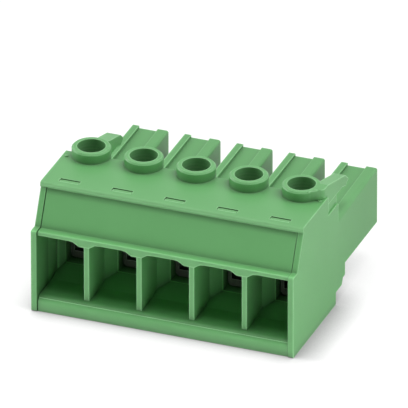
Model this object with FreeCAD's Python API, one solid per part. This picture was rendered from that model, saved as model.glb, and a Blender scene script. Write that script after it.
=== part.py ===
import FreeCAD, Part
import math
import os

V = FreeCAD.Vector

# A five-pole plug with screw clamps. Wires enter at the front, where y is least,
# a screwdriver enters from above, and the fingers at the back slide over the pins
# of a header. Sizes are in millimetres. Depths are measured from the front face
# and heights from the base. The origin is moved under the middle when saving.

# Grid of poles and overall reach
poles = 5
pitch = 7.62
end_allowance = 0.10
overall_width = poles * pitch - end_allowance
finger_end = 32.4

# End plates and the outline of the main moulding
end_plate = 0.82
base_depth = 16.4
sill_height = 12.3
sill_depth = 1.5
slope_top = 3.9
roof_front = 3.6
roof_height = 18.07
roof_thickness = 0.71
roof_edge_radius = 0.35
roof_back = 13.4
shelf_height = 15.2
block_back = 17.25
foot_back = 18.7
foot_height = 1.85
heel_step = 19.1
heel_height = 2.8
heel_back = 19.95
edge_radius = 0.25
housing_floor = 1.4

# Collars round the screwdriver holes
screw_line = 13.06
collar_top = 19.58
collar_radius = 2.70
collar_bevel = 0.22
driver_hole_radius = 1.95

# Fingers that carry the socket contacts
finger_width = 5.22
finger_bottom = 4.69
finger_top = 13.0
finger_rib = 0.93
finger_recess_width = 2.5
finger_flank = 0.5
recess_depth_back = 0.37
recess_depth_front = 0.85
ridge_radius_back = 0.3
ridge_radius_front = 1.0

# Latch tongues behind the outer collars. The right one starts beside its collar.
tongue_slope_start = 13.84
tongue_slope_end = 20.6
tongue_drop = 1.83
tongue_thickness = 1.25
tongue_tip = 21.9
tongue_tip_drop = 1.10
tongue_hook_drop = 0.4
tongue_hook_start = 19.3
tongue_corner = 0.8
left_tongue_from_end = 3.1
left_tongue_width = 1.96
right_tongue_from_end = 0.25
right_tongue_width = 1.65
right_tongue_front = 12.0

# Catch windows in the roof
window_left = 1.48
window_right = 1.41
window_back = 5.49
window_length = 0.85

# Small round pips beside the outer collars
pip_from_end = 0.65
pip_line = 11.7
pip_radius = 0.25
pip_height = 0.12

# Snap-in wire entry frame
frame_side_gap = 0.07
frame_roof_gap = 0.15
frame_back_gap = 0.10
frame_back = 9.15
frame_foot_back = 5.0
panel_setback = 0.08
panel_thickness = 1.1
lip_front = 0.2
lip_height = 2.3
lip_radius = 1.05
ledge_front = 0.3
ledge_thickness = 0.63
ledge_underside = 11.57
ceiling_height = 12.75
divider_thickness = 0.74
divider_front = 1.32
gusset_drop = 0.58
gusset_foot_width = 1.5
gusset_slope = 0.9
gusset_curve = 0.45
funnel_straight_end = 7.1
ramp_start = 5.4
throat_half_width = 2.17
throat_bottom = 3.3
throat_top = 8.3
flange_back = 6.2
flange_thickness = 0.95
catch_gap_side = 0.10
catch_gap_front = 0.05
catch_gap_back = 0.30
catch_top_gap = 0.05

# Clamp chambers
chamber_side_gap = 0.20
chamber_floor_gap = 0.20
chamber_roof_gap = 0.30
chamber_back = 16.0

# Clamp screws
screw_radius = 1.45
screw_head_radius = 2.05
screw_head_height = 1.6
screw_slot_width = 0.6
screw_slot_depth = 0.9
screw_bevel = 0.25
head_gap = 0.10
head_lift = 0.05
tip_gap = 0.05

# Tension sleeves
sleeve_shank_gap = 0.10
sleeve_wall = 0.50
sleeve_jaw = 1.0
sleeve_top_thickness = 1.6
sleeve_front = 2.45
sleeve_rear = 2.10
sleeve_corner = 0.6
thread_clearance = 0.05
jaw_groove_depth = 0.2
jaw_grooves = 4
clamp_travel = 2.5
closed_jaw_gap = 0.5

# Socket contacts
bar_side_gap = 0.10
bar_bottom = 7.4
bar_thickness = 0.8
bar_front_reach = 0.6
socket_offset = 0.95
joggle_length = 0.8
web_half_width = 0.90
web_end = 20.5
arm_height = 2.5
arm_thickness = 0.40
arm_start = 17.4
arm_pinch = 28.8
arm_pinch_half_gap = 0.42
arm_mouth = 30.6
arm_mouth_half_gap = 0.72

# Steel over-springs
spring_gap = 0.03
spring_thickness = 0.25
spring_front = 19.0
spring_back = 28.4
spring_side_height = 2.2
spring_window_margin = 1.2
spring_window_height = 1.1

# Passages and pin mouths in the fingers
passage_gap = 0.10
passage_end = 31.4
mouth_half_width = 0.85
mouth_half_height = 0.95
mouth_flare = 0.45

# Sizes that follow from those above
half_width = overall_width / 2
inner_half = half_width - end_plate
roof_underside = roof_height - roof_thickness
ledge_top = ledge_underside + ledge_thickness
catch_height = roof_height - catch_top_gap
frame_half = inner_half - frame_side_gap
frame_rear = frame_back - frame_back_gap
frame_roof = roof_underside - frame_roof_gap
funnel_half = (pitch - divider_thickness) / 2
slope_run = (slope_top - sill_depth) / (roof_underside - sill_height)
bar_top = bar_bottom + bar_thickness
sleeve_inner = screw_radius + sleeve_shank_gap
sleeve_half_width = sleeve_inner + sleeve_wall
arm_top = bar_bottom + arm_height
sleeve_bottom = bar_bottom - closed_jaw_gap - clamp_travel - sleeve_jaw
sleeve_top = bar_top + head_gap + sleeve_top_thickness
chamber_half_width = sleeve_half_width + chamber_side_gap
chamber_bottom = sleeve_bottom - chamber_floor_gap
chamber_top = sleeve_top + clamp_travel + chamber_roof_gap
head_bottom = chamber_top + head_lift
head_top = head_bottom + screw_head_height
head_pocket_radius = screw_head_radius + head_gap
head_pocket_top = head_top + head_gap
screw_tip = bar_top + tip_gap
sleeve_bore_radius = screw_radius + thread_clearance
bar_half_width = sleeve_inner - bar_side_gap
spring_inner = web_half_width + spring_gap
spring_outer = spring_inner + spring_thickness
spring_top = arm_top + spring_gap + spring_thickness
passage_half = spring_outer + passage_gap
mouth_middle = bar_bottom + arm_height / 2


def pole_x(k):
    return (k - (poles - 1) / 2) * pitch


def socket_x(k):
    return pole_x(k) + socket_offset


def finger_x(k):
    """Left side of finger k. The last finger is flush with the right end plate."""
    return half_width - finger_width - (poles - 1 - k) * pitch


def divider_x(k):
    return pole_x(k) + pitch / 2


def rounded_wire(corners, place):
    """Closed outline through corners (a, b, radius), set in space by place(a, b)."""
    starts = []
    ends = []
    mids = []
    count = len(corners)
    for i in range(count):
        a, b, radius = corners[i]
        before = corners[i - 1]
        after = corners[(i + 1) % count]
        here = V(a, b, 0)
        back = V(before[0], before[1], 0) - here
        ahead = V(after[0], after[1], 0) - here
        back.normalize()
        ahead.normalize()
        half_angle = back.getAngle(ahead) / 2
        if radius == 0:
            starts.append(here)
            ends.append(here)
            mids.append(None)
            continue
        reach = radius / math.tan(half_angle)
        middle = back + ahead
        middle.normalize()
        centre = here + middle * (radius / math.sin(half_angle))
        starts.append(here + back * reach)
        ends.append(here + ahead * reach)
        mids.append(centre - middle * radius)
    edges = []
    for i in range(count):
        start = place(starts[i].x, starts[i].y)
        end = place(ends[i].x, ends[i].y)
        following = starts[(i + 1) % count]
        if mids[i] is not None:
            edges.append(Part.Arc(start, place(mids[i].x, mids[i].y), end).toShape())
        edges.append(Part.LineSegment(end, place(following.x, following.y)).toShape())
    return Part.Wire(edges)


def prism_x(corners, x0, x1):
    """Outline in depth and height, drawn out from x0 to x1."""
    wire = rounded_wire(corners, lambda a, b: V(x0, a, b))
    return Part.Face(wire).extrude(V(x1 - x0, 0, 0))


def prism_y(corners, y0, y1):
    """Outline in width and height, drawn out from y0 to y1."""
    wire = rounded_wire(corners, lambda a, b: V(a, y0, b))
    return Part.Face(wire).extrude(V(0, y1 - y0, 0))


def prism_z(corners, z0, z1):
    """Outline in width and depth, drawn out from z0 to z1."""
    wire = rounded_wire(corners, lambda a, b: V(a, b, z0))
    return Part.Face(wire).extrude(V(0, 0, z1 - z0))


def block(x0, x1, y0, y1, z0, z1):
    return Part.makeBox(x1 - x0, y1 - y0, z1 - z0, V(x0, y0, z0))


def tapered(corners0, y0, corners1, y1):
    """Solid with flat sides between two outlines in width and height."""
    first = [V(a, y0, b) for a, b in corners0]
    last = [V(a, y1, b) for a, b in corners1]
    rims = [first, last]
    for i in range(len(first)):
        j = (i + 1) % len(first)
        rims.append([first[i], first[j], last[j], last[i]])
    shell = Part.Shell([Part.Face(Part.makePolygon(rim + rim[:1])) for rim in rims])
    solid = Part.Solid(shell)
    if solid.Volume < 0:
        solid.reverse()
    return solid


def rectangle(x0, x1, z0, z1):
    return [(x0, z0), (x1, z0), (x1, z1), (x0, z1)]


def upright(radius, z0, z1, x, y):
    return Part.makeCylinder(radius, z1 - z0, V(x, y, z0))


def turned(outline, x, y):
    """Solid turned about the upright line through x, y from an outline (radius, z)."""
    points = [V(x + r, y, z) for r, z in outline]
    wire = Part.makePolygon(points + points[:1])
    return Part.Face(wire).revolve(V(x, y, 0), V(0, 0, 1), 360)


def joined(shapes):
    result = shapes[0].multiFuse(shapes[1:])
    return result.removeSplitter()


def block_outline():
    """Side outline of the front block: sill, sloping face, roof, shelf and stepped heel."""
    return [
        (0, 0, edge_radius),
        (0, sill_height, edge_radius),
        (sill_depth, sill_height, 0),
        (slope_top, roof_underside, 0),
        (roof_front, roof_underside, 0),
        (roof_front, roof_height, roof_edge_radius),
        (roof_back, roof_height, edge_radius),
        (roof_back, shelf_height, 0),
        (block_back, shelf_height, edge_radius),
        (block_back, finger_bottom, 0),
        (heel_back, finger_bottom, 0),
        (heel_back, heel_height, edge_radius),
        (heel_step, heel_height, 0),
        (foot_back, foot_height, edge_radius),
        (base_depth, foot_height, 0),
        (base_depth, 0, edge_radius),
    ]


def recess_section(x, depth):
    """Section of a finger's sunk top: upright at the rib and sloping at the ridge."""
    rib = x + finger_rib
    floor_end = rib + finger_recess_width
    flank = finger_flank * depth / recess_depth_front
    floor = finger_top - depth
    return [(rib, finger_top), (rib, floor), (floor_end, floor), (floor_end + flank, finger_top)]


def ridge_waste(right):
    """What is cut off a finger's upper right edge, which a slim cone rounds more towards the front."""
    growth = (ridge_radius_front - ridge_radius_back) / (finger_end - chamber_back)
    tip = finger_end + ridge_radius_back / growth
    front = ridge_radius_front
    back = ridge_radius_back
    corner = tapered(rectangle(right - front, right, finger_top - front, finger_top), chamber_back,
                     rectangle(right - back, right, finger_top - back, finger_top), finger_end)
    axis = V(-growth, -1, -growth)
    half_angle = math.asin(growth / axis.Length)
    length = (tip - chamber_back + front) * axis.Length
    cone = Part.makeCone(0, length * math.tan(half_angle), length, V(right, tip, finger_top), axis)
    return corner.cut(cone)


def finger(k):
    """Finger with a thin rib, a sunk floor that rises to the back, and a rounded ridge."""
    x = finger_x(k)
    right = x + finger_width
    bar = block(x, right, chamber_back, finger_end, finger_bottom, finger_top)
    recess = tapered(recess_section(x, recess_depth_front), chamber_back,
                     recess_section(x, recess_depth_back), finger_end)
    return bar.cut([recess, ridge_waste(right)])


def collar(x):
    """Screw tower with a bevelled rim. Its lower end stands on the shelf."""
    rim = collar_top - collar_bevel
    outline = [
        (0, shelf_height),
        (collar_radius, shelf_height),
        (collar_radius, rim),
        (collar_radius - collar_bevel, collar_top),
        (0, collar_top),
    ]
    return turned(outline, x, screw_line)


def tongue(x0, x1, front):
    """Latch tongue that slopes down behind a collar and ends in a small hook."""
    slope_foot = collar_top - tongue_drop
    underside = slope_foot - tongue_thickness
    outline = [
        (front, underside, 0),
        (front, collar_top, 0),
        (tongue_slope_start, collar_top, 0),
        (tongue_slope_end, slope_foot, edge_radius),
        (tongue_tip, slope_foot - tongue_tip_drop, edge_radius),
        (tongue_slope_end, underside - tongue_hook_drop, edge_radius),
        (tongue_hook_start, underside, 0),
    ]
    plan = [
        (x0, front, 0),
        (x1, front, tongue_corner),
        (x1, tongue_tip, 0),
        (x0, tongue_tip, 0),
    ]
    return prism_x(outline, x0, x1).common(prism_z(plan, 0, collar_top))


def pip(side):
    middle = side * (half_width - pip_from_end)
    return upright(pip_radius, roof_underside, roof_height + pip_height, middle, pip_line)


def housing_solids():
    solids = [prism_x(block_outline(), -half_width, half_width)]
    for k in range(poles):
        solids.append(finger(k))
        solids.append(collar(pole_x(k)))
    left = -half_width + left_tongue_from_end
    right = half_width - right_tongue_from_end
    solids.append(tongue(left, left + left_tongue_width, screw_line))
    solids.append(tongue(right - right_tongue_width, right, right_tongue_front))
    solids.append(pip(-1))
    solids.append(pip(1))
    return solids


def chamber(k):
    """Space for one clamp, open to the front, with a slot for the screw head above."""
    x = pole_x(k)
    room = block(x - chamber_half_width, x + chamber_half_width,
                 slope_top, chamber_back, chamber_bottom, chamber_top)
    slot = block(x - head_pocket_radius, x + head_pocket_radius,
                 slope_top, screw_line, chamber_top, head_pocket_top)
    pocket = upright(head_pocket_radius, chamber_top, head_pocket_top, x, screw_line)
    return [room, slot, pocket]


def driver_hole(k):
    """Screwdriver hole down to the screw head."""
    return upright(driver_hole_radius, head_pocket_top, collar_top, pole_x(k), screw_line)


def passage(k):
    """Space for the socket contact in its finger, with a flared mouth for the pin."""
    x = socket_x(k)
    room = block(x - passage_half, x + passage_half, chamber_back, passage_end,
                 bar_bottom - tip_gap, spring_top + passage_gap)
    narrow = rectangle(x - mouth_half_width, x + mouth_half_width,
                       mouth_middle - mouth_half_height, mouth_middle + mouth_half_height)
    wide_half = mouth_half_width + mouth_flare
    wide_height = mouth_half_height + mouth_flare
    wide = rectangle(x - wide_half, x + wide_half,
                     mouth_middle - wide_height, mouth_middle + wide_height)
    mouth = tapered(narrow, passage_end, wide, finger_end)
    return [room, mouth]


def window(k):
    x = pole_x(k)
    return block(x - window_left, x + window_right, window_back - window_length,
                 window_back, roof_underside, roof_height)


def housing():
    """Main moulding: end plates, roof with collars, chambers and fingers."""
    cutters = [
        block(-inner_half, inner_half, 0, frame_back, housing_floor, roof_underside),
        block(-inner_half, inner_half, 0, frame_foot_back, 0, housing_floor),
    ]
    for k in range(poles):
        cutters.extend(chamber(k))
        cutters.append(driver_hole(k))
        cutters.extend(passage(k))
        cutters.append(window(k))
    return joined(housing_solids()).cut(cutters)


def frame_outline():
    """Side outline of the wire entry frame, solid from lip to ceiling."""
    panel_bottom = sill_depth + panel_setback - (sill_height - ledge_top) * slope_run
    panel_top = panel_bottom + (frame_roof - ledge_top) * slope_run
    flange_bottom = frame_roof - flange_thickness
    inner_top = panel_bottom + panel_thickness + (flange_bottom - ledge_top) * slope_run
    inner_bottom = panel_bottom + panel_thickness + (ceiling_height - ledge_top) * slope_run
    return [
        (lip_front, 0, 0.1),
        (lip_front, lip_height, lip_radius),
        (divider_front, lip_height, 0),
        (divider_front, ledge_underside, 0),
        (ledge_front, ledge_underside, 0.1),
        (ledge_front, ledge_top, 0.15),
        (panel_bottom, ledge_top, 0),
        (panel_top, frame_roof, 0),
        (flange_back, frame_roof, 0),
        (flange_back, flange_bottom, 0),
        (inner_top, flange_bottom, 0),
        (inner_bottom, ceiling_height, 0),
        (frame_rear, ceiling_height, 0),
        (frame_rear, housing_floor + frame_back_gap, 0),
        (frame_foot_back - frame_back_gap, housing_floor + frame_back_gap, 0),
        (frame_foot_back - frame_back_gap, 0, 0),
    ]


def funnel(k):
    """Wire entry: straight mouth, a ramp in its floor, and a throat that narrows to the clamp."""
    x = pole_x(k)
    left = max(x - funnel_half, -inner_half)
    right = min(x + funnel_half, inner_half)
    reach_left = x - funnel_half
    reach_right = x + funnel_half
    mouth = block(reach_left, reach_right, divider_front, ramp_start, lip_height, ledge_underside)
    run = (funnel_straight_end - ramp_start) / (frame_rear - ramp_start)
    ramp_height = lip_height + (throat_bottom - lip_height) * run
    low = rectangle(reach_left, reach_right, lip_height, ledge_underside)
    middle = rectangle(reach_left, reach_right, ramp_height, ledge_underside)
    ramp = tapered(low, ramp_start, middle, funnel_straight_end)
    wide = rectangle(left, right, ramp_height, ledge_underside)
    throat = rectangle(x - throat_half_width, x + throat_half_width, throat_bottom, throat_top)
    narrowing = tapered(wide, funnel_straight_end, throat, frame_rear)
    return [mouth, ramp, narrowing]


def gusset(k):
    """Web under the ledge where a divider meets it, with S-shaped flanks."""
    x = divider_x(k)
    foot = gusset_foot_width / 2
    top = foot + gusset_slope
    end = top + gusset_curve
    low = ledge_underside - gusset_drop
    high = ledge_underside + ledge_thickness / 2
    corners = [
        (x - end, high, 0),
        (x - end, ledge_underside, 0),
        (x - top, ledge_underside, gusset_curve),
        (x - foot, low, gusset_curve),
        (x + foot, low, gusset_curve),
        (x + top, ledge_underside, gusset_curve),
        (x + end, ledge_underside, 0),
        (x + end, high, 0),
    ]
    return prism_y(corners, ledge_front, divider_front + divider_thickness)


def stiffener(k):
    """Rib behind the sloping panel, in line with a divider."""
    x = divider_x(k)
    rise = frame_roof - flange_thickness - ceiling_height
    corners = [
        (sill_depth + panel_thickness, ceiling_height - flange_thickness, 0),
        (sill_depth + panel_thickness + rise * slope_run, frame_roof - flange_thickness / 2, 0),
        (flange_back - catch_gap_back, frame_roof - flange_thickness / 2, 0),
        (frame_rear, ceiling_height - flange_thickness, 0),
    ]
    return prism_x(corners, x - divider_thickness / 2, x + divider_thickness / 2)


def catch(k):
    """Snap catch on the frame's flange that fills its window in the roof."""
    x = pole_x(k)
    front = window_back - window_length + catch_gap_front
    back = window_back - catch_gap_back
    corners = [
        (front, frame_roof - flange_thickness / 2, 0),
        (front, catch_height, 0.08),
        (back, catch_height, 0.08),
        (back, frame_roof - flange_thickness / 2, 0),
    ]
    return prism_x(corners, x - window_left + catch_gap_side, x + window_right - catch_gap_side)


def wire_entry_frame():
    """Snap-in front moulding with five wire funnels."""
    body = prism_x(frame_outline(), -frame_half, frame_half)
    cutters = []
    for k in range(poles):
        cutters.extend(funnel(k))
    body = body.cut(cutters)
    additions = [catch(k) for k in range(poles)]
    for k in range(poles - 1):
        additions.append(gusset(k))
        additions.append(stiffener(k))
    return joined([body] + additions)


def clamp_screw(k):
    """Captive slotted screw. Its flat tip bears on the contact bar."""
    outline = [
        (0, screw_tip),
        (screw_radius, screw_tip),
        (screw_radius, head_bottom),
        (screw_head_radius, head_bottom),
        (screw_head_radius, head_top - screw_bevel),
        (screw_head_radius - screw_bevel, head_top),
        (0, head_top),
    ]
    x = pole_x(k)
    slot = block(x - screw_head_radius, x + screw_head_radius,
                 screw_line - screw_slot_width / 2, screw_line + screw_slot_width / 2,
                 head_top - screw_slot_depth, head_top)
    return turned(outline, x, screw_line).cut(slot)


def tension_sleeve(k):
    """Folded steel cage. The screw draws it up, so that its jaw lifts the wire to the bar."""
    x = pole_x(k)
    front = screw_line - sleeve_front
    rear = screw_line + sleeve_rear
    jaw_top = sleeve_bottom + sleeve_jaw
    ceiling = sleeve_top - sleeve_top_thickness
    outer = [
        (x - sleeve_half_width, sleeve_bottom, sleeve_corner),
        (x + sleeve_half_width, sleeve_bottom, sleeve_corner),
        (x + sleeve_half_width, sleeve_top, sleeve_corner),
        (x - sleeve_half_width, sleeve_top, sleeve_corner),
    ]
    cage = prism_y(outer, front, rear)
    cutters = [
        block(x - sleeve_inner, x + sleeve_inner, front, rear, jaw_top, ceiling),
        upright(sleeve_bore_radius, ceiling, sleeve_top, x, screw_line),
    ]
    step = (rear - front) / (jaw_grooves + 1)
    for i in range(jaw_grooves):
        y = front + step * (i + 1)
        groove = [
            (y - jaw_groove_depth, jaw_top, 0),
            (y, jaw_top - jaw_groove_depth, 0),
            (y + jaw_groove_depth, jaw_top, 0),
        ]
        cutters.append(prism_x(groove, x - sleeve_inner, x + sleeve_inner))
    return cage.cut(cutters)


def contact_strip(k):
    """Flat current bar through the sleeve, with a joggle to the line of the socket."""
    x = pole_x(k)
    s = socket_x(k)
    front = screw_line - sleeve_front - bar_front_reach
    bend = chamber_back - joggle_length
    corners = [
        (x - bar_half_width, front, 0),
        (x + bar_half_width, front, 0),
        (x + bar_half_width, bend, 0.2),
        (s + web_half_width, chamber_back, 0.2),
        (s + web_half_width, web_end, 0),
        (s - web_half_width, web_end, 0),
        (s - web_half_width, chamber_back, 0.2),
        (x - bar_half_width, bend, 0.2),
    ]
    return prism_z(corners, bar_bottom, bar_top)


def contact_arm(k, side):
    """One arm of the socket: straight, then sprung inwards, then flared at the mouth."""
    s = socket_x(k)
    base = web_half_width - arm_thickness
    corners = [
        (s + side * base, arm_start, 0),
        (s + side * web_half_width, arm_start, 0),
        (s + side * web_half_width, web_end, 0.5),
        (s + side * (arm_pinch_half_gap + arm_thickness), arm_pinch, 0.8),
        (s + side * (arm_mouth_half_gap + arm_thickness), arm_mouth, 0),
        (s + side * arm_mouth_half_gap, arm_mouth, 0),
        (s + side * arm_pinch_half_gap, arm_pinch, 0.4),
        (s + side * base, web_end, 0.5),
    ]
    return prism_z(corners, bar_bottom, arm_top)


def socket_contact(k):
    return joined([contact_strip(k), contact_arm(k, -1), contact_arm(k, 1)])


def contact_spring(k):
    """Steel saddle over the socket arms, with a window in each side."""
    s = socket_x(k)
    low = arm_top - spring_side_height
    corners = [
        (s - spring_outer, low, 0),
        (s - spring_outer, spring_top, spring_thickness),
        (s + spring_outer, spring_top, spring_thickness),
        (s + spring_outer, low, 0),
        (s + spring_inner, low, 0),
        (s + spring_inner, arm_top + spring_gap, 0),
        (s - spring_inner, arm_top + spring_gap, 0),
        (s - spring_inner, low, 0),
    ]
    middle = arm_top - spring_side_height / 2
    opening = block(s - spring_outer, s + spring_outer,
                    spring_front + spring_window_margin, spring_back - spring_window_margin,
                    middle - spring_window_height / 2, middle + spring_window_height / 2)
    return prism_y(corners, spring_front, spring_back).cut(opening)


def save(name, shape):
    """Move the origin under the middle of the plug, check the solid and write it."""
    if shape.ShapeType == "Compound" and len(shape.Solids) == 1:
        shape = shape.Solids[0]
    shape.translate(V(0, -finger_end / 2, 0))
    print(name, len(shape.Solids), shape.isValid(), round(shape.Volume, 2))
    shape.exportStep(os.path.join("parts", name + ".step"))


os.makedirs("parts", exist_ok=True)
save("housing", housing())
save("wire_entry_frame", wire_entry_frame())
for pole in range(poles):
    number = str(pole + 1)
    save("tension_sleeve_" + number, tension_sleeve(pole))
    save("clamp_screw_" + number, clamp_screw(pole))
    save("socket_contact_" + number, socket_contact(pole))
    save("contact_spring_" + number, contact_spring(pole))
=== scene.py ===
import math

import bmesh
import bpy
from mathutils import Matrix, Vector


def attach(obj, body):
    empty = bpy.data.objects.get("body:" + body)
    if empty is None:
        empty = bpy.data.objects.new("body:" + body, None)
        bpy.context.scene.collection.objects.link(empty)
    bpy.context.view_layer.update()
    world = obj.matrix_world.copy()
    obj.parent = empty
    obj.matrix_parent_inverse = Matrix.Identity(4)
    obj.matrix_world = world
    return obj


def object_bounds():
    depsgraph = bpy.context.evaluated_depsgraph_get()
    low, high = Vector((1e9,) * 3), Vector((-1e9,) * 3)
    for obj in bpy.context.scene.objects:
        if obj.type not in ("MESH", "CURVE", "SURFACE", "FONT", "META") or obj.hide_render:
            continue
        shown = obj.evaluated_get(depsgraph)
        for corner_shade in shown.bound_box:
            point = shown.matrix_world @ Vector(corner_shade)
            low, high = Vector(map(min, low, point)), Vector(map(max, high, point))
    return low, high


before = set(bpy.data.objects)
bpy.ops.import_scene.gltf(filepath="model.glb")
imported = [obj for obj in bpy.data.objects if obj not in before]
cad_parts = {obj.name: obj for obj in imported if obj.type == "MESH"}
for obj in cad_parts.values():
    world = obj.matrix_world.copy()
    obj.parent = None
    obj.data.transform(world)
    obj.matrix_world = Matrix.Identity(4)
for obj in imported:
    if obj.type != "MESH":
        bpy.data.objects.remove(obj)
frame_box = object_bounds()


# The camera stands in front of the plug, above it and a little towards +X, far
# away behind a long lens, so that upright edges stay upright and parallel edges
# nearly parallel. Lengths are in metres, and the plug's front faces -Y.
camera_azimuth = math.radians(20.97)
camera_elevation = math.radians(28.16)
camera_roll = math.radians(-0.04)
camera_distance = 2.0349
nearest_seen = 0.1
farthest_seen = 10
sensor_width = 36
image_pixels = 408
focal_pixels = 15000
aim_point = Vector((0, -0.0042, 0.009))
aim_right = 0.0014172
aim_up = 0.0044399

camera_back = Vector((
    math.sin(camera_azimuth) * math.cos(camera_elevation),
    -math.cos(camera_azimuth) * math.cos(camera_elevation),
    math.sin(camera_elevation),
))
level_right = Vector((math.cos(camera_azimuth), math.sin(camera_azimuth), 0))
level_up = camera_back.cross(level_right)
camera_right = level_right * math.cos(camera_roll) + level_up * math.sin(camera_roll)
camera_up = level_up * math.cos(camera_roll) - level_right * math.sin(camera_roll)

camera = bpy.data.objects.new("camera", bpy.data.cameras.new("camera"))
bpy.context.scene.collection.objects.link(camera)
camera.data.sensor_width = sensor_width
camera.data.lens = focal_pixels * sensor_width / image_pixels
camera.data.clip_start = nearest_seen
camera.data.clip_end = farthest_seen
camera_place = aim_point + camera_right * aim_right + camera_up * aim_up
camera_place += camera_back * camera_distance
axes = Matrix((camera_right, camera_up, camera_back)).transposed()
camera.matrix_world = Matrix.Translation(camera_place) @ axes.to_4x4()
bpy.context.scene.camera = camera


# The housing is one injection moulding in satin green polyamide: end plates,
# roof with five screw collars, latch tongues, stepped heel and five fingers.
# The mould leaves a fine spark-eroded grain and slightly rounded edges.
class Term:
    """A number that changes over a surface. Sums written with it add Math nodes."""

    def __init__(self, nodes, socket):
        self.nodes = nodes
        self.socket = socket

    def maths(self, operation, *values):
        settings = {"operation": operation}
        return self.nodes.add("ShaderNodeMath", settings, dict(enumerate(values)))

    def sine(self):
        return self.maths("SINE", self)

    def __abs__(self):
        return self.maths("ABSOLUTE", self)

    def __add__(self, other):
        return self.maths("ADD", self, other)

    def __sub__(self, other):
        return self.maths("SUBTRACT", self, other)

    def __rsub__(self, other):
        return self.maths("SUBTRACT", other, self)

    def __mul__(self, other):
        return self.maths("MULTIPLY", self, other)

    __radd__ = __add__
    __rmul__ = __mul__


class Nodes:
    """A node tree. A node's sockets are given as values or terms, by name or number."""

    def __init__(self, tree):
        self.tree = tree

    def add(self, kind, settings, sockets, output=0):
        node = self.tree.nodes.new(kind)
        for name, value in settings.items():
            setattr(node, name, value)
        self.fill(node, sockets)
        return Term(self, node.outputs[output]) if node.outputs else None

    def fill(self, node, sockets):
        for name, value in sockets.items():
            if isinstance(value, Term):
                self.tree.links.new(value.socket, node.inputs[name])
            else:
                node.inputs[name].default_value = value


class Finish(Nodes):
    """A material, and the patterns that the plug's finishes are made of."""

    rays = 8
    mix_sockets = (0, 6, 7)  # a Mix node's factor and its two colours
    mixed_colour = 2

    def __init__(self, name):
        self.material = bpy.data.materials.new(name)
        self.material.use_nodes = True
        super().__init__(self.material.node_tree)
        self.tree.nodes.clear()
        self.place = self.add("ShaderNodeTexCoord", {}, {}, "Object")

    def shaded(self, kind, sockets):
        """The finished material, with a shader of this kind on its surface."""
        shader = self.add(kind, {}, sockets)
        self.add("ShaderNodeOutputMaterial", {}, {"Surface": shader})
        return self.material

    def axis(self, number):
        """The place along X, Y or Z, which are numbered 0, 1 and 2."""
        return self.add("ShaderNodeSeparateXYZ", {}, {"Vector": self.place}, number)

    def rise(self, value, start, fade):
        """0 up to the start, then growing to 1 over the fade, which may be negative."""
        sockets = {"Value": value, "From Min": start, "From Max": start + fade}
        return self.add("ShaderNodeMapRange", {}, sockets)

    def limited(self, value):
        """A term kept between 0 and 1."""
        return self.add("ShaderNodeClamp", {}, {"Value": value})

    def mixed(self, share, first, second):
        """The first colour, giving way to the second as the share grows to 1."""
        sockets = dict(zip(self.mix_sockets, (share, first, second)))
        return self.add("ShaderNodeMix", {"data_type": "RGBA"}, sockets, self.mixed_colour)

    def noise(self, scale, detail):
        sockets = {"Vector": self.place, "Scale": scale, "Detail": detail}
        return self.add("ShaderNodeTexNoise", {}, sockets, "Fac")

    def soft_edges(self, radius):
        """Normals that turn gently over an edge of this radius."""
        settings = {"samples": self.rays}
        return self.add("ShaderNodeBevel", settings, {"Radius": radius}, "Normal")

    def bump(self, height, distance, normal):
        sockets = {"Height": height, "Distance": distance, "Normal": normal}
        return self.add("ShaderNodeBump", {}, sockets, "Normal")

    def openness(self, distance, **sockets):
        """1 on open faces, about 0.5 in a corner of this width, and 0 deep in a gap."""
        settings = {"samples": self.rays}
        sockets["Distance"] = distance
        return self.add("ShaderNodeAmbientOcclusion", settings, sockets, "AO")

    def edge_share(self, width):
        """0 on flat faces, rising to about 0.5 on an outer edge within this width."""
        settings = {"samples": self.rays, "inside": True, "only_local": True}
        sockets = {"Distance": width}
        return 1 - self.add("ShaderNodeAmbientOcclusion", settings, sockets, "AO")


# The polyamide's colours: its own on open faces, a painted highlight for edges, painted shade
# for the finger ends, hollows, corners and gaps, and painted light for the driver holes.
polyamide_green = (0.142, 0.430, 0.146, 1)
polyamide_pale = (0.160, 0.465, 0.164, 1)
painted_edge_highlight = (0.34, 0.72, 0.34, 1)
fingers_painted_shade = (0.085, 0.305, 0.085, 1)
painted_hollow_shade = (0.142, 0.265, 0.142, 1)
painted_hole_light = (0.30, 0.56, 0.30, 1)
painted_corner_shade = (0.110, 0.225, 0.110, 1)
polyamide_shade = (0.045, 0.185, 0.045, 1)
painted_gap_shade = (0.025, 0.10, 0.025, 1)

# Its surface: satin, slightly clouded, with a fine grain and small round edges.
polyamide_roughness = 0.36
polyamide_ior = 1.5
cloud_pitch = 0.006
cloud_detail = 2.0
grain_pitch = 0.00012
grain_detail = 3.0
grain_depth = 0.000004
grain_roughness = 0.12
edge_radius = 0.00006

# Where the painted shade, light and highlights go. Each grows to its share over
# its fade. For the painted shade in hollows, corners and gaps, and the painted
# highlight on edges, the share is the gain times how shut in or how near an edge
# the face is, less the start.
sharp_fade = 0.00005
soft_fade = 0.00025

# Painted shade towards the ends of the fingers.
fingers_start = 0.0
fingers_fade = 0.0111
fingers_shade_share = 0.4

# Painted shade in hollows, and painted light in the driver holes.
hollow_width = 0.008
hollow_shade_gain = 1.6
hollow_start = 0.85
hole_foot = 0.0140
hole_fade = 0.001
hole_light_share = 0.8
ring_pitch = 0.0005
ring_light_share = 0.35

# Painted shade in inner corners, left out of the notch.
corner_width = 0.0012
corner_shade_gain = 1.25
notch_left = 0.0172
notch_front = -0.0045
notch_fade = 0.000333

# Painted shade under the roof's front edge.
panel_top = 0.01736
panel_rear = -0.0117
shade_height = 0.001
shade_share = 0.75

# Painted shade along the side seams.
side_seam = 0.018145
side_seam_reach = 0.000075
side_seam_shade_share = 0.7

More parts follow.
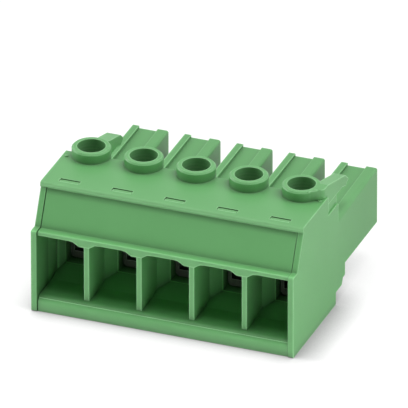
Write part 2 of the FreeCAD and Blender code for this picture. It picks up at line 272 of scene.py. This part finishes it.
# Painted highlight on outer edges and on the round of the roof's front edge.
edge_highlight_width = 0.0002
edge_highlight_gain = 1.7
edge_off_seam = 0.000083
edge_off_seam_fade = 0.000167
roof_front = -0.01222
roof_lip_low = 0.0172
roof_lip_high = 0.0175
roof_lip_fade = 0.000125
roof_lip_highlight_share = 0.33

# Painted shade in the gaps and round the catches in the roof windows.
gap_width = 0.0005
gap_shade_gain = 3.2
gap_start = 1.4
window_low = 0.0177
window_rear = -0.0104
window_shade_share = 0.65


def polyamide(name):
    finish = Finish(name)
    across, along, height = [finish.axis(number) for number in range(3)]
    grain = finish.noise(1 / grain_pitch, grain_detail)
    cloud = finish.noise(1 / cloud_pitch, cloud_detail)

    # Painted shade darkens the cloudy green towards the ends of the fingers.
    shade_to_ends = finish.rise(along, fingers_start, fingers_fade)
    body = finish.mixed(cloud, polyamide_green, polyamide_pale)
    body = finish.mixed(fingers_shade_share * shade_to_ends, body, fingers_painted_shade)

    # Painted shade darkens hollows. In the driver holes painted light makes the walls paler
    # and greyer, faintly ringed.
    hollow_shade = finish.limited(hollow_shade_gain * (1 - finish.openness(hollow_width)) - hollow_start)
    rings = (height * (math.tau / ring_pitch)).sine()
    hole_light = hollow_shade * finish.rise(height, hole_foot, hole_fade)
    hole_light *= hole_light_share + ring_light_share * rings
    hollow_shade_hole_light = finish.mixed(hollow_shade, body, painted_hollow_shade)
    hollow_shade_hole_light = finish.mixed(hole_light, hollow_shade_hole_light, painted_hole_light)

    # Painted shade darkens inner corners, but not in the notch by the right latch tongue.
    notch = finish.rise(across, notch_left, notch_fade)
    notch *= finish.rise(along, notch_front, notch_fade)
    notch *= finish.rise(height, hole_foot, notch_fade)
    corner_shade = finish.limited(corner_shade_gain * (1 - finish.openness(corner_width)))
    shaded = finish.mixed(corner_shade * (1 - notch), hollow_shade_hole_light, painted_corner_shade)

    # Painted shade lies on the top of the sloping panel, under the roof's front edge.
    in_front = finish.rise(along, panel_rear, -soft_fade)
    in_front *= finish.rise(height, panel_top, -sharp_fade)
    from_seam = abs(across) - side_seam
    under_roof = in_front * finish.rise(height, panel_top - shade_height, shade_height)
    under_roof *= finish.rise(from_seam, 0, -sharp_fade)
    shaded = finish.mixed(shade_share * under_roof, shaded, polyamide_shade)

    # A painted highlight makes outer edges paler, but not at the side seams. On the
    # roof's front edge only the round gets the painted highlight.
    off_seam = finish.rise(abs(from_seam), edge_off_seam, edge_off_seam_fade)
    roof_edge = finish.rise(along, roof_front, -soft_fade)
    roof_edge *= finish.rise(height, roof_lip_low, roof_lip_fade)
    roof_round_highlight = roof_edge * finish.rise(height, roof_lip_high, roof_lip_fade)
    edge_highlight = finish.limited(edge_highlight_gain * finish.edge_share(edge_highlight_width))
    edge_highlight *= off_seam * (1 - roof_edge)
    highlighted = finish.mixed(edge_highlight + roof_lip_highlight_share * roof_round_highlight, shaded, painted_edge_highlight)

    # Painted shade makes the gaps round the catches and the seams at both ends nearly black.
    by_window = finish.rise(along, window_rear, -soft_fade)
    by_window *= finish.rise(height, window_low, sharp_fade)
    gap_shade = gap_shade_gain * (1 - finish.openness(gap_width)) - gap_start
    gap_shade = finish.limited(gap_shade + window_shade_share * by_window) * (1 - hollow_shade)
    seam_shade_line = in_front * finish.rise(abs(from_seam), side_seam_reach, -sharp_fade)
    gap_and_seam_shade = finish.limited(gap_shade + side_seam_shade_share * seam_shade_line)

    return finish.shaded("ShaderNodeBsdfPrincipled", {
        "Base Color": finish.mixed(gap_and_seam_shade, highlighted, painted_gap_shade),
        "Roughness": polyamide_roughness + grain_roughness * grain,
        "IOR": polyamide_ior,
        "Normal": finish.bump(grain, grain_depth, finish.soft_edges(edge_radius)),
    })


def dressed(node_name, material):
    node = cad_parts[node_name]
    node.data.materials.clear()
    node.data.materials.append(material)
    return node


housing_green = polyamide("green polyamide of the housing")
housing = dressed("housing", housing_green)


# A small web of the housing joins the last collar to the right latch tongue, so
# that the collar's side runs smoothly into the tongue's front.
poles = 5
pitch = 0.00762
pole_places = [(pole - (poles - 1) / 2) * pitch for pole in range(poles)]
screw_line = -0.00314
collar_radius = 0.0027
collar_top = 0.01958
roof_top = 0.01807
tongue_front = -0.0042
tongue_corner_start = 0.0182
web_angle = math.radians(-42)
web_overlap = 0.0004
web_drop = 0.00001
web_in_collar = Vector((0.00216, -0.00076))
web_in_tongue = Vector((0.0001, 0.0009))


def prism(outline, low, high):
    """An upright solid over a plan outline that runs anticlockwise."""
    solid = bmesh.new()
    lower = solid.faces.new([solid.verts.new((x, y, low)) for x, y in outline])
    grown = bmesh.ops.extrude_face_region(solid, geom=[lower])
    raised = [part for part in grown["geom"] if isinstance(part, bmesh.types.BMVert)]
    bmesh.ops.translate(solid, verts=raised, vec=(0, 0, high - low))
    bmesh.ops.recalc_face_normals(solid, faces=solid.faces)
    return solid


def placed(name, solid, material):
    mesh = bpy.data.meshes.new(name)
    solid.to_mesh(mesh)
    solid.free()
    mesh.materials.append(material)
    made = bpy.data.objects.new(name, mesh)
    bpy.context.scene.collection.objects.link(made)
    return made


collar_middle = Vector((pole_places[-1], screw_line))
collar_side = Vector((math.cos(web_angle), math.sin(web_angle)))
collar_touch = collar_middle + collar_radius * collar_side
tongue_touch = Vector((tongue_corner_start, tongue_front))
web_way = (tongue_touch - collar_touch).normalized()
web_plan = [
    collar_touch - web_way * web_overlap,
    tongue_touch + web_way * web_overlap,
    tongue_touch + web_in_tongue,
    collar_middle + web_in_collar,
]
web_solid = prism(web_plan, roof_top - web_overlap, collar_top - web_drop)
web = placed("tongue_web", web_solid, housing_green)
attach(web, "plug")


# A gusset of the housing stands on the rear shelf under the right latch tongue.
# Its outer side lies in line with the tongue's, and its top follows the slope.
gusset_left = 0.0174
gusset_right = 0.01874
gusset_front = -0.0029
gusset_rear = 0.00095
gusset_foot = 0.0151
gusset_top = 0.0176
gusset_rise = 0.0009

gusset_plan = [
    (gusset_left, gusset_front),
    (gusset_right, gusset_front),
    (gusset_right, gusset_rear),
    (gusset_left, gusset_rear),
]
block = prism(gusset_plan, gusset_foot, gusset_top)
halfway_back = (gusset_front + gusset_rear) / 2
halfway_up = (gusset_foot + gusset_top) / 2
upper_front = [v for v in block.verts if v.co.y < halfway_back and v.co.z > halfway_up]
bmesh.ops.translate(block, verts=upper_front, vec=(0, 0, gusset_rise))
gusset = placed("tongue_gusset", block, housing_green)
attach(gusset, "plug")


# The wire entry frame is a second moulding in the same green polyamide. It
# snaps in from the front, where five catches come up through the roof windows.
entry_green = polyamide("green polyamide of the entry frame")
entry = dressed("wire_entry_frame", entry_green)


# The two halves of the mould met along the round of the lip, and left a fine
# raised line there from end to end. The line is so thin that the painted edge
# highlight covers it whole, so it shows as a painted highlight along the lip.
line_radius = 0.00006
line_sides = 8
line_length = 0.0362
line_place = Vector((0, -0.01569, 0.00199))

line = bmesh.new()
bmesh.ops.create_cone(
    line, cap_ends=True, segments=line_sides,
    radius1=line_radius, radius2=line_radius, depth=line_length,
    matrix=Matrix.Translation(line_place) @ Matrix.Rotation(math.pi / 2, 4, "Y"),
)
painted_highlight_line = placed("lip_parting_line", line, entry_green)
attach(painted_highlight_line, "plug")


# Each catch of the entry frame has a low shoulder round its head. It nearly
# closes the roof window, so that only a shallow groove shows round the catch.
window_left = 0.00148
window_right = 0.00141
window_front = -0.01156
window_back = -0.01071
shoulder_gap = 0.00001
shoulder_depth = 0.00014
shoulder_thickness = 0.0002

shoulder_top = roof_top - shoulder_depth
for pole, middle in enumerate(pole_places):
    left = middle - window_left + shoulder_gap
    right = middle + window_right - shoulder_gap
    low = window_front + shoulder_gap
    high = window_back - shoulder_gap
    shoulder_plan = [(left, low), (right, low), (right, high), (left, high)]
    solid = prism(shoulder_plan, shoulder_top - shoulder_thickness, shoulder_top)
    shoulder = placed("catch_shoulder_%d" % (pole + 1), solid, entry_green)
    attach(shoulder, "plug")


# The clamp screws are cold-headed from steel, slotted and zinc-plated. Each is
# captive: its tip bears on the current bar, and turning it draws up the sleeve.
zinc_bright = (0.50, 0.50, 0.48, 1)
zinc_dull = (0.36, 0.36, 0.35, 1)
zinc_roughness = 0.25
# Pale painted highlight for the edges of the bright metals.
metal_edge_highlight = (0.70, 0.70, 0.68, 1)
plating_cloud_scale = 900
plating_cloud_detail = 3.0
plating_cloud_roughness = 0.15
plating_grain_scale = 9000
plating_grain_detail = 2.0
plating_grain_depth = 0.000003
metal_edge_radius = 0.00008
metal_highlight_width = 0.0001
metal_highlight_gain = 2.0


def metal(name, colour, dull_colour, highlight_colour, roughness):
    """Plated metal, clouded with its dull colour, with a painted highlight of another colour
    at the edges.
    """
    finish = Finish(name)
    cloud = finish.noise(plating_cloud_scale, plating_cloud_detail)
    grain = finish.noise(plating_grain_scale, plating_grain_detail)
    plating = finish.mixed(cloud, colour, dull_colour)
    edge_highlight = finish.limited(metal_highlight_gain * finish.edge_share(metal_highlight_width))
    soft_edges = finish.soft_edges(metal_edge_radius)
    return finish.shaded("ShaderNodeBsdfPrincipled", {
        "Base Color": finish.mixed(edge_highlight, plating, highlight_colour),
        "Metallic": 1.0,
        "Roughness": roughness + plating_cloud_roughness * cloud,
        "Normal": finish.bump(grain, plating_grain_depth, soft_edges),
    })


zinc = metal("zinc-plated screw steel", zinc_bright, zinc_dull, metal_edge_highlight, zinc_roughness)
for pole in range(1, poles + 1):
    screw = dressed("clamp_screw_%d" % pole, zinc)


# The rolled thread of each clamp screw, half a millimetre a turn, runs from the
# tip to the head. Its crest clears the tapped hole of the tension sleeve.
thread_pitch = 0.0005
thread_width = thread_pitch / 2
thread_root = 0.00144
thread_crest = 0.001485
thread_bottom = 0.0084
thread_turns = 8
thread_steps = 24

for pole, middle in enumerate(pole_places):
    thread = bmesh.new()
    profile = [
        (thread_root, thread_bottom),
        (thread_crest, thread_bottom + thread_width / 2),
        (thread_root, thread_bottom + thread_width),
    ]
    corners = [thread.verts.new((middle + reach, screw_line, rise)) for reach, rise in profile]
    sides = [thread.edges.new((corners[i], corners[i - 1])) for i in range(len(corners))]
    bmesh.ops.spin(
        thread, geom=corners + sides, cent=(middle, screw_line, 0), axis=(0, 0, 1),
        dvec=(0, 0, thread_pitch / thread_steps), angle=math.tau * thread_turns,
        steps=thread_steps * thread_turns, use_merge=False,
    )
    bmesh.ops.holes_fill(thread, edges=thread.edges, sides=len(profile))
    bmesh.ops.recalc_face_normals(thread, faces=thread.faces)
    ridge = placed("screw_thread_%d" % (pole + 1), thread, zinc)
    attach(ridge, "screw_%d" % (pole + 1))


# The tension sleeves are cages folded from plated steel strip. The screw goes
# through the tapped top, and the bottom is the jaw that lifts the wire against
# the current bar.
# The sleeves' steel is painted dark and green-tinged: painted shade and a painted green
# reflection of the dark chamber round them, with a dim painted highlight on the edges.
sleeve_painted_shade = (0.11, 0.135, 0.10, 1)
sleeve_painted_deep_shade = (0.04, 0.055, 0.04, 1)
sleeve_edge_highlight = (0.22, 0.25, 0.22, 1)
sleeve_roughness = 0.5

shaded_sleeve_steel = metal(
    "plated sleeve steel painted in shade", sleeve_painted_shade, sleeve_painted_deep_shade, sleeve_edge_highlight, sleeve_roughness
)
for pole in range(1, poles + 1):
    sleeve = dressed("tension_sleeve_%d" % pole, shaded_sleeve_steel)


# The socket contacts are stamped from tin-plated copper strip. The front end of
# each is the current bar of its clamp, and the rear end is folded into two arms
# that grip the pin.
tin_bright = (0.55, 0.54, 0.52, 1)
tin_dull = (0.40, 0.39, 0.38, 1)
tin_roughness = 0.3

tinned = metal("tinned copper", tin_bright, tin_dull, metal_edge_highlight, tin_roughness)
for pole in range(1, poles + 1):
    contact = dressed("socket_contact_%d" % pole, tinned)


# The over-springs are bent from thin spring steel. Each is folded over the arms
# of its contact and presses them together.
spring_bright = (0.44, 0.44, 0.44, 1)
spring_dull = (0.32, 0.32, 0.32, 1)
spring_roughness = 0.22

spring_steel = metal("spring steel", spring_bright, spring_dull, metal_edge_highlight, spring_roughness)
for pole in range(1, poles + 1):
    spring = dressed("contact_spring_%d" % pole, spring_steel)


# The plug stands on a white table that runs far past the picture. The camera
# sees the table lit up to pure white, apart from a soft shadow. That shadow is
# faintly real and mostly painted into the table's glow where the plug hides the
# sky, leaning away from the left lamp.
table_size = 12.0
table_white = (0.9, 0.9, 0.9, 1)
table_seen = (0.14, 0.14, 0.14, 1)
table_dark = (0, 0, 0, 1)
table_lit = (1, 1, 1, 1)
shadow_reach = 0.0045
shadow_lean = {"X": -0.4, "Y": 0.22, "Z": 1.0}
shadow_floor = 0.04
shadow_slope = 0.90
overhang_reach = 0.012
overhang_floor = 0.45
overhang_slope = 0.8

table_finish = Finish("white table")
path_seen = table_finish.add("ShaderNodeLightPath", {}, {}, "Is Camera Ray")
table_colour = table_finish.mixed(path_seen, table_white, table_seen)
diffuse = table_finish.add("ShaderNodeBsdfDiffuse", {}, {"Color": table_colour})
leaning = table_finish.add("ShaderNodeCombineXYZ", {}, shadow_lean)
open_sky = table_finish.openness(shadow_reach, Normal=leaning)
open_above = table_finish.openness(overhang_reach)
shadow = table_finish.limited(open_sky * shadow_slope + shadow_floor)
shadow *= table_finish.limited(open_above * overhang_slope + overhang_floor)
lift_with_painted_shadow = table_finish.mixed(path_seen * shadow, table_dark, table_lit)
glow = table_finish.add("ShaderNodeEmission", {}, {"Color": lift_with_painted_shadow})
table_cover = table_finish.shaded("ShaderNodeAddShader", {0: diffuse, 1: glow})

top = bmesh.new()
bmesh.ops.create_grid(top, x_segments=1, y_segments=1, size=table_size / 2)
table = placed("table", top, table_cover)


# Four broad soft lamps stand far off, overhead, behind on the right and low on
# both sides. A narrow beam falls on the table in front and throws light back up.
lamp_distance = 3.0
lamp_size = 2.1
beam_size = 0.4
beam_height = 0.1
beam_overlap = 0.0003
beam_power = 0.35
beam_spread = math.radians(1)
plug_front = frame_box[0][1]


def add_lamp(name, place, aim, size, power, spread):
    data = bpy.data.lights.new(name, "AREA")
    data.shape = "SQUARE"
    data.size = size
    data.energy = power
    data.spread = spread
    lamp = bpy.data.objects.new(name, data)
    bpy.context.scene.collection.objects.link(lamp)
    lamp.location = place
    lamp.rotation_euler = (aim - place).to_track_quat("-Z", "Y").to_euler()


def add_far_lamp(name, azimuth, elevation, power):
    height = math.sin(math.radians(elevation))
    reach = math.cos(math.radians(elevation))
    around = math.radians(azimuth)
    way = Vector((math.sin(around) * reach, -math.cos(around) * reach, height))
    add_lamp(name, way * lamp_distance, Vector((0, 0, 0)), lamp_size, power, math.pi)


add_far_lamp("overhead lamp", azimuth=0, elevation=90, power=45.5)
add_far_lamp("back right lamp", azimuth=125, elevation=50, power=29)
add_far_lamp("right lamp", azimuth=90, elevation=20, power=20)
add_far_lamp("left lamp", azimuth=270, elevation=20, power=43)
beam_aim = Vector((0, plug_front + beam_overlap - beam_size / 2, 0))
beam_place = beam_aim + Vector((0, 0, beam_height))
add_lamp("table beam", beam_place, beam_aim, beam_size, beam_power, beam_spread)


# A white tent stands round everything. The camera, shiny surfaces and clear
# ones see it as white, while its own light on dull surfaces is faint.
tent_white = (1, 1, 1, 1)
tent_light = 0.04

tent = bpy.data.worlds.new("tent")
tent.use_nodes = True
bpy.context.scene.world = tent
tent_nodes = Nodes(tent.node_tree)
tent_seen = sum(
    tent_nodes.add("ShaderNodeLightPath", {}, {}, kind)
    for kind in ("Is Camera Ray", "Is Glossy Ray", "Is Transmission Ray")
)
tent_strength = tent_seen * (1 - tent_light) + tent_light
tent_cloth = tent.node_tree.nodes["Background"]
tent_nodes.fill(tent_cloth, {"Color": tent_white, "Strength": tent_strength})
bpy.context.scene.view_settings.view_transform = "Standard"
